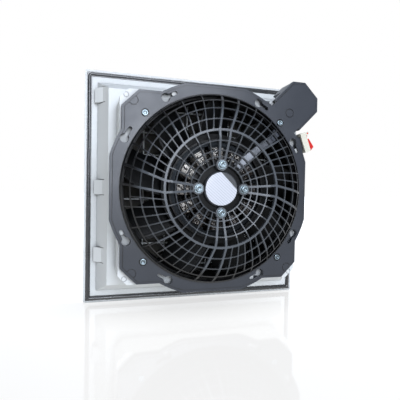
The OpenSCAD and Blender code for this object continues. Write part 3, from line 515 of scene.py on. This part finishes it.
# Copper wire under dark dipping varnish: brown-black, with wet-looking lights along each turn and painted
# shade between the turns
dippedCopper = {
    **plainFinish, "color": "#3a302a", "darkTone": "#15110e", "roughness": 0.16, "roughnessSpread": 0.05,
    "metallic": 0.3, "coat": 1.0, "coatRoughness": 0.08, "nookSize": 5 * mm, "nookShade": 0.9,
    "glintTapeColor": "#d8d4ce", "glintFrom": 0.58, "glintTo": 0.61, "glintSize": 3.2 * mm,
    "glintLean": (2.6, 0, 2.2),          # more painted glints towards +X and up, where the light falls
    "patchSize": 5 * mm, "grainSize": 1.0 * mm, "grainDepth": 0.03 * mm, "grainStrength": 0.3,
    "edgeRadius": 0.2 * mm,
}


# Painted glints: cream patches between the wires, drawn as scraps of insulating tape
def addTapeGlints(material, look):
    tree, shader, bare = reopenMaterial(material)
    point = addNode(tree, "ShaderNodeTexCoord").outputs["Object"]
    spread = addNode(tree, "ShaderNodeTexNoise",
                     {"Vector": point, "Scale": 1 / look["glintSize"], "Detail": fineNoise["Detail"]})
    lean = addNode(tree, "ShaderNodeVectorMath", {0: point, 1: look["glintLean"]}, operation="DOT_PRODUCT")
    amount = addNode(tree, "ShaderNodeMath", {0: spread.outputs["Fac"], 1: lean.outputs["Value"]},
                     operation="ADD")
    cover = mapSpan(tree, amount.outputs["Value"], (look["glintFrom"], look["glintTo"]))
    tree.links.new(mixColors(tree, cover, bare, srgb(look["glintTapeColor"])), shader.inputs["Base Color"])
    return material


# Foamed polyurethane with a closed skin: dark, glossy where the skin is tight, with painted shade in its
# nooks
sealFoam = {
    **plainFinish, "color": "#24272b", "darkTone": "#181a1d", "roughness": 0.3, "roughnessSpread": 0.1,
    "coat": 1.0, "coatRoughness": 0.18, "nookShade": 0.6, "patchSize": 9 * mm, "grainSize": 1.4 * mm,
    "grainDepth": 0.12 * mm, "grainStrength": 0.5, "edgeRadius": 0.3 * mm,
}


# Needled polyester fleece, coloured dark grey as painted shade inside the fan and darker still in its nooks:
# matt, with fibres that cross in every direction
filterFleece = {
    **plainFinish, "color": "#5f5d57", "darkTone": "#4d4b46", "roughness": 0.9, "nookSize": 60 * mm,
    "nookShade": 0.9, "patchSize": 14 * mm, "fibreWidth": 0.9 * mm, "fibreTurns": (12, 68, 121),
    "fibreDepth": 0.4 * mm, "fibreStretch": 0.12, "fibreWander": 0.6, "fibreStrength": 0.6, "sheen": 0.3,
}


def needledFleece(name, look):
    material, tree, shader, point = startMaterial(name, look)
    shader.inputs["Sheen Weight"].default_value = look["sheen"]
    mottle(tree, shader, point, look)
    normal = None
    for turn in look["fibreTurns"]:
        strands = addNode(tree, "ShaderNodeMapping",
                          {"Vector": point, "Rotation": (0, math.radians(turn), 0),
                           "Scale": (1, 1, look["fibreStretch"])})
        fibre = addNode(tree, "ShaderNodeTexNoise",
                        {"Vector": strands.outputs["Vector"], "Scale": 1 / look["fibreWidth"],
                         "Detail": fineNoise["Detail"], "Distortion": look["fibreWander"]})
        bump = addNode(tree, "ShaderNodeBump",
                       {"Height": fibre.outputs["Fac"], "Distance": look["fibreDepth"],
                        "Strength": look["fibreStrength"]})
        if normal is not None:
            tree.links.new(normal, bump.inputs["Normal"])
        normal = bump.outputs["Normal"]
    tree.links.new(normal, shader.inputs["Normal"])
    return material


def dress(names, material):
    for name in names:
        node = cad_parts[name]
        node.data.materials.clear()
        node.data.materials.append(material)


def dressNodes():
    housing = grainedFinish("mouldedHousingAbs", housingAbs)
    clips = [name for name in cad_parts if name.startswith("panel_clip")]
    dress(["mounting_frame", "filter_support_grid", "bayonet_studs", "louvre_grille", *clips], housing)
    dress(["fan_plate", "terminal_box"], grainedFinish("mouldedPlatePolyamide", platePolyamide))
    guard = addStoutLightThinShade(grainedFinish("mouldedGuardPolyamide", guardPolyamide), guardPolyamide)
    dress(["guard_grille"], addFarShade(guard, guardPolyamide))
    dress(["wall_ring", "impeller"], grainedFinish("mouldedImpellerPolyamide", impellerPolyamide))
    dress(["cable_duct"], addFarShade(grainedFinish("mouldedDuctPolyamide", ductPolyamide), ductPolyamide))
    dress(["motor_cap"], grainedFinish("mouldedCapPolyamide", capPolyamide))
    dress(["terminal_block"], grainedFinish("mouldedTerminalPolyamide", terminalPolyamide))
    dress(["terminal_lever"], grainedFinish("mouldedLeverPolyamide", leverPolyamide))
    dress(["motor_flange"], grainedFinish("coatedCastAluminium", coatedCasting))
    dress(["front_bearing", "rear_bearing", "motor_shaft"],
          grainedFinish("groundBearingSteel", groundSteel))
    dress(["run_capacitor"], grainedFinish("drawnAluminium", drawnAluminium))
    dress(["rotor_shell"], grainedFinish("dipPaintedSteel", dipPaintedSteel))
    dress(["stator_core", "rotor_core"], stackedSheet("laminatedElectricalSteel", laminatedSteel))
    dress(["rating_plate"], ruledFilm("printedWhiteFilm", plateFilm))


dressNodes()
print("CAD nodes dressed")


# Screws: a turned shank and head with a six-lobed socket, the guard's four on a washer each

turnedScrews = {
    "sides": 48,
    "lobes": 6,
    "headEdge": 0.5 * mm,
    "socketShare": 0.56,           # socket radius as a share of the head's
    "lobeShare": 0.1,
    "socketDepthShare": 0.6,
    "mouthShare": 1.15,            # the socket's countersunk mouth and its floor, as shares of the socket
    "floorShare": 0.5,
    "roundShare": 0.3,             # how far in the middle ring of a rounded edge lies
    "washerEdge": 0.25 * mm,
    "sharpAngle": 35,
}
plateScrew = {"headRadius": 3.8 * mm, "headHeight": 2.6 * mm, "shankRadius": 1.6 * mm,
              "washerRadius": 0, "washerHeight": 0, "places": ((1, 1), (-1, 1), (-1, -1), (1, -1))}
hubScrew = {"headRadius": 3.9 * mm, "headHeight": 2.8 * mm, "shankRadius": 2.4 * mm,
            "washerRadius": 5.5 * mm, "washerHeight": 1.2 * mm, "places": ((1, 0), (0, 1), (-1, 0), (0, -1))}


# Joins rings of (radius, height, lobe share) from the first to the last and closes both ends
def turnProfile(bm, rings, place):
    made = bmesh.ops.create_circle(bm, segments=turnedScrews["sides"], radius=1.0, cap_ends=True)["verts"]
    current = made
    loop = edgesAt(made)
    for index, (radius, height, lobe) in enumerate(rings):
        if index:
            out = bmesh.ops.extrude_edge_only(bm, edges=loop)
            current = newVerts(out)
            loop = openEdges(out)
            made = made + current
        for vert in current:
            angle = math.atan2(vert.co.y, vert.co.x)
            reach = radius * (1 + lobe * math.cos(turnedScrews["lobes"] * angle))
            vert.co = Vector((reach * math.cos(angle), reach * math.sin(angle), height))
    bmesh.ops.edgeloop_fill(bm, edges=loop)
    bmesh.ops.transform(bm, verts=made, matrix=place)


def makeScrews(name, node, screw, material):
    low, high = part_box(node)
    base = screw["washerHeight"]
    top = base + screw["headHeight"]
    head = screw["headRadius"]
    edge = turnedScrews["headEdge"]
    socket = head * turnedScrews["socketShare"]
    lobe = turnedScrews["lobeShare"]
    deep = top - screw["headHeight"] * turnedScrews["socketDepthShare"]
    foot = low.y - (high.y - top)
    inner = edge * turnedScrews["roundShare"]
    floor = turnedScrews["floorShare"]
    rings = [(screw["shankRadius"], foot, 0), (screw["shankRadius"], base, 0), (head, base, 0),
             (head, top - edge, 0), (head - inner, top - inner, 0), (head - edge, top, 0),
             (socket * turnedScrews["mouthShare"], top, 0), (socket, top - inner, lobe), (socket, deep, lobe),
             (socket * floor, deep - edge * floor, 0)]
    soft = turnedScrews["washerEdge"]
    washer = screw["washerRadius"]
    reach = high.x - max(head, washer)
    upright = Matrix.Rotation(-math.pi / 2, 4, "X")
    bm = bmesh.new()
    for across, up in screw["places"]:
        place = Matrix.Translation((across * reach, high.y - top, up * reach)) @ upright
        turnProfile(bm, rings, place)
        if washer:
            turnProfile(bm, [(washer, 0, 0), (washer, base - soft, 0), (washer - soft, base, 0)], place)
    piece = finishMesh(bm, name, material)
    piece.data.shade_smooth()
    piece.data.set_sharp_from_angle(angle=math.radians(turnedScrews["sharpAngle"]))
    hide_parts(node)
    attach(piece, "fan_unit")


screwZinc = grainedFinish("bluePassivatedZinc", zincSteel)
makeScrews("plateScrews", "plate_screws", plateScrew, screwZinc)
makeScrews("hubScrews", "hub_screws", hubScrew, screwZinc)
print("screws made")


# Foamed seal: a flat bed in the flange's groove, and a round bead on it that wanders a little

foamSeal = {
    "bedWidth": 6 * mm,
    "bedTop": 0.9 * mm,
    "beadRadius": 2.2 * mm,
    "beadSides": 14,
    "stepLength": 7 * mm,
    "cornerRadius": 4 * mm,
    "cornerSteps": 6,
    "wander": 0.35 * mm,
    "wanderLength": 24 * mm,
    "wanderSeed": 1,               # noise vectors change at every run without one
    "weld": 0.01 * mm,
}


# A round section drawn along each side of the square and turned about each corner
def sweepBead(bm, middle, axisY):
    straight = middle - foamSeal["cornerRadius"]
    bmesh.ops.create_circle(bm, segments=foamSeal["beadSides"], radius=foamSeal["beadRadius"],
                            matrix=Matrix.Translation((middle, axisY, -straight)))
    ring = bm.edges[:]
    steps = round(2 * straight / foamSeal["stepLength"])
    for side in range(4):
        turn = Matrix.Rotation(-math.pi / 2 * side, 3, "Y")
        for step in range(steps):
            out = bmesh.ops.extrude_edge_only(bm, edges=ring)
            ring = openEdges(out)
            bmesh.ops.translate(bm, verts=newVerts(out), vec=turn @ Vector((0, 0, 2 * straight / steps)))
        tips = list(dict.fromkeys(vert for edge in ring for vert in edge.verts))
        out = bmesh.ops.spin(bm, geom=tips + ring, cent=turn @ Vector((straight, axisY, straight)),
                             axis=(0, 1, 0), angle=-math.pi / 2, steps=foamSeal["cornerSteps"])
        ring = [part for part in out["geom_last"] if isinstance(part, bmesh.types.BMEdge)]
    bmesh.ops.remove_doubles(bm, verts=bm.verts, dist=foamSeal["weld"])
    noise.seed_set(foamSeal["wanderSeed"])
    for vert in bm.verts:
        drift = noise.noise_vector(vert.co / foamSeal["wanderLength"])
        vert.co += Vector((drift.x, min(drift.y, 0), drift.z)) * foamSeal["wander"]
    for face in bm.faces:
        face.smooth = True


# A square ring between two circles of four sides each, turned on edge, and raised to the bed's top
def layBed(bm, outer, bottom):
    loops = []
    for half in (outer, outer - foamSeal["bedWidth"]):
        flat = Matrix.Translation((0, bottom, 0)) @ Matrix.Rotation(math.pi / 2, 4, "X") \
            @ Matrix.Rotation(math.pi / 4, 4, "Z")
        made = bmesh.ops.create_circle(bm, segments=4, radius=half * math.sqrt(2), matrix=flat)
        loops += edgesAt(made["verts"])
    bed = bmesh.ops.bridge_loops(bm, edges=loops)["faces"]
    out = bmesh.ops.extrude_face_region(bm, geom=bed)
    bmesh.ops.translate(bm, verts=newVerts(out), vec=(0, foamSeal["bedTop"] - bottom, 0))


def makeFoamSeal():
    low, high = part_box("frame_seal")
    bm = bmesh.new()
    sweepBead(bm, high.x - foamSeal["bedWidth"] / 2, high.y - foamSeal["beadRadius"])
    layBed(bm, high.x, low.y)
    piece = finishMesh(bm, "foamSeal", grainedFinish("foamedPolyurethane", sealFoam))
    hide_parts("frame_seal")
    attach(piece, "frame")


makeFoamSeal()
print("foam seal made")


# Filter mat: a lofty sheet of needled fleece with soft, slightly uneven faces and cut edges

fleeceMat = {
    "cells": 110,
    "layers": 5,
    "loft": 0.7 * mm,
    "loftLength": 9 * mm,
    "loftOctaves": 3,
    "edgeSoft": 1.6 * mm,
    "edgeDrop": 0.8 * mm,          # how far the faces sink at the cut edge
    "faceShare": 0.7,              # how much more the sides draw in at the faces than halfway between them
    "sideBand": 0.1 * mm,
}


def makeFleeceMat():
    low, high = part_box("filter_mat")
    half = high.x
    thick = high.y - low.y
    material = needledFleece("needledPolyesterFleece", filterFleece)
    bm = bmesh.new()
    bmesh.ops.create_grid(bm, x_segments=fleeceMat["cells"], y_segments=fleeceMat["cells"], size=half)
    bmesh.ops.rotate(bm, verts=bm.verts, cent=(0, 0, 0), matrix=Matrix.Rotation(math.pi / 2, 3, "X"))
    bmesh.ops.translate(bm, verts=bm.verts, vec=(0, low.y, 0))
    out = bmesh.ops.extrude_face_region(bm, geom=bm.faces[:])
    bmesh.ops.translate(bm, verts=newVerts(out), vec=(0, thick, 0))
    upright = [edge for edge in bm.edges if abs(edge.verts[0].co.y - edge.verts[1].co.y) > thick / 2]
    bmesh.ops.subdivide_edges(bm, edges=upright, cuts=fleeceMat["layers"] - 1, use_grid_fill=True)
    middle = (low.y + high.y) / 2
    length = fleeceMat["loftLength"]
    octaves = fleeceMat["loftOctaves"]
    for vert in bm.verts:
        toFace = (vert.co.y - middle) / (thick / 2)              # -1 on the dusty face, 1 on the clean one
        inset = half - max(abs(vert.co.x), abs(vert.co.z))
        fall = max(0.0, 1 - inset / fleeceMat["edgeSoft"]) ** 2  # the cut edge sinks in
        lift = 0.5 + 0.5 * noise.fractal(vert.co / length, 1.0, 2.0, octaves)
        sink = fleeceMat["loft"] * min(1.0, max(0.0, lift)) + fleeceMat["edgeDrop"] * fall
        vert.co.y -= toFace * sink
        if inset < fleeceMat["sideBand"]:                        # and its sides draw in
            drawn = 1 - fleeceMat["faceShare"] * (1 - abs(toFace))
            shrink = 1 - fleeceMat["loft"] * drawn / half
            vert.co.x *= shrink
            vert.co.z *= shrink
    piece = finishMesh(bm, "filterFleece", material)
    piece.data.shade_smooth()
    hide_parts("filter_mat")
    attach(piece, "frame")


makeFleeceMat()
print("filter fleece made")


# Motor winding: every stator tooth carries three layers of enamelled wire, drawn thick so that the turns show

motorWinding = {
    "teeth": 12,
    "wireRadius": 0.95 * mm,
    "layers": 3,
    "neckHalf": 2.65 * mm,         # half a tooth's neck and its insulation
    "innerReach": 33.6 * mm,       # from the shaft's axis to the first turn
    "outerReach": 50.0 * mm,
    "corner": 2.6 * mm,
    "cornerSteps": 4,
    "bevelSides": 1,
}


# One turn of wire: a rectangle with round corners, at one distance from the shaft's axis
def coilLoop(reach, wide, front, back):
    corner = motorWinding["corner"]
    last = motorWinding["cornerSteps"] - 1
    points = []
    for quarter, (across, along) in enumerate(((1, 1), (-1, 1), (-1, -1), (1, -1))):
        middleX = across * (wide - corner)
        middleY = back - corner if along > 0 else front + corner
        for step in range(last + 1):
            angle = math.pi / 2 * (quarter + step / last)
            points.append(Vector((middleX + corner * math.cos(angle),
                                  middleY + corner * math.sin(angle), reach)))
    return points


def makeMotorWinding():
    low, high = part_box("stator_winding")
    wire = motorWinding["wireRadius"]
    curve = bpy.data.curves.new("motorWindingPath", "CURVE")
    curve.dimensions = "3D"
    curve.bevel_depth = wire
    curve.bevel_resolution = motorWinding["bevelSides"]
    turns = round((motorWinding["outerReach"] - motorWinding["innerReach"]) / (2 * wire))
    for tooth in range(motorWinding["teeth"]):
        turn = Matrix.Rotation(2 * math.pi * tooth / motorWinding["teeth"] + math.pi / 2, 3, "Y")
        for layer in range(motorWinding["layers"]):
            wide = motorWinding["neckHalf"] + wire * (1 + 2 * layer)
            tuck = 2 * wire * (motorWinding["layers"] - 1 - layer) + wire
            for k in range(turns + 1):
                reach = motorWinding["innerReach"] + 2 * wire * k
                points = coilLoop(reach, wide, low.y + tuck, high.y - tuck)
                spline = curve.splines.new("POLY")
                spline.points.add(len(points) - 1)
                for point, place in zip(spline.points, points):
                    point.co = (*(turn @ place), 1)
                spline.use_cyclic_u = True
    holder = bpy.data.objects.new("motorWindingPath", curve)
    bpy.context.scene.collection.objects.link(holder)
    mesh = bpy.data.meshes.new_from_object(holder.evaluated_get(bpy.context.evaluated_depsgraph_get()))
    bpy.data.objects.remove(holder)
    piece = bpy.data.objects.new("motorWinding", mesh)
    bpy.context.scene.collection.objects.link(piece)
    piece.data.materials.clear()
    piece.data.materials.append(addTapeGlints(grainedFinish("dippedCopperWire", dippedCopper), dippedCopper))
    piece.data.shade_smooth()
    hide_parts("stator_winding")
    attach(piece, "fan_unit")


makeMotorWinding()
print("motor winding made")
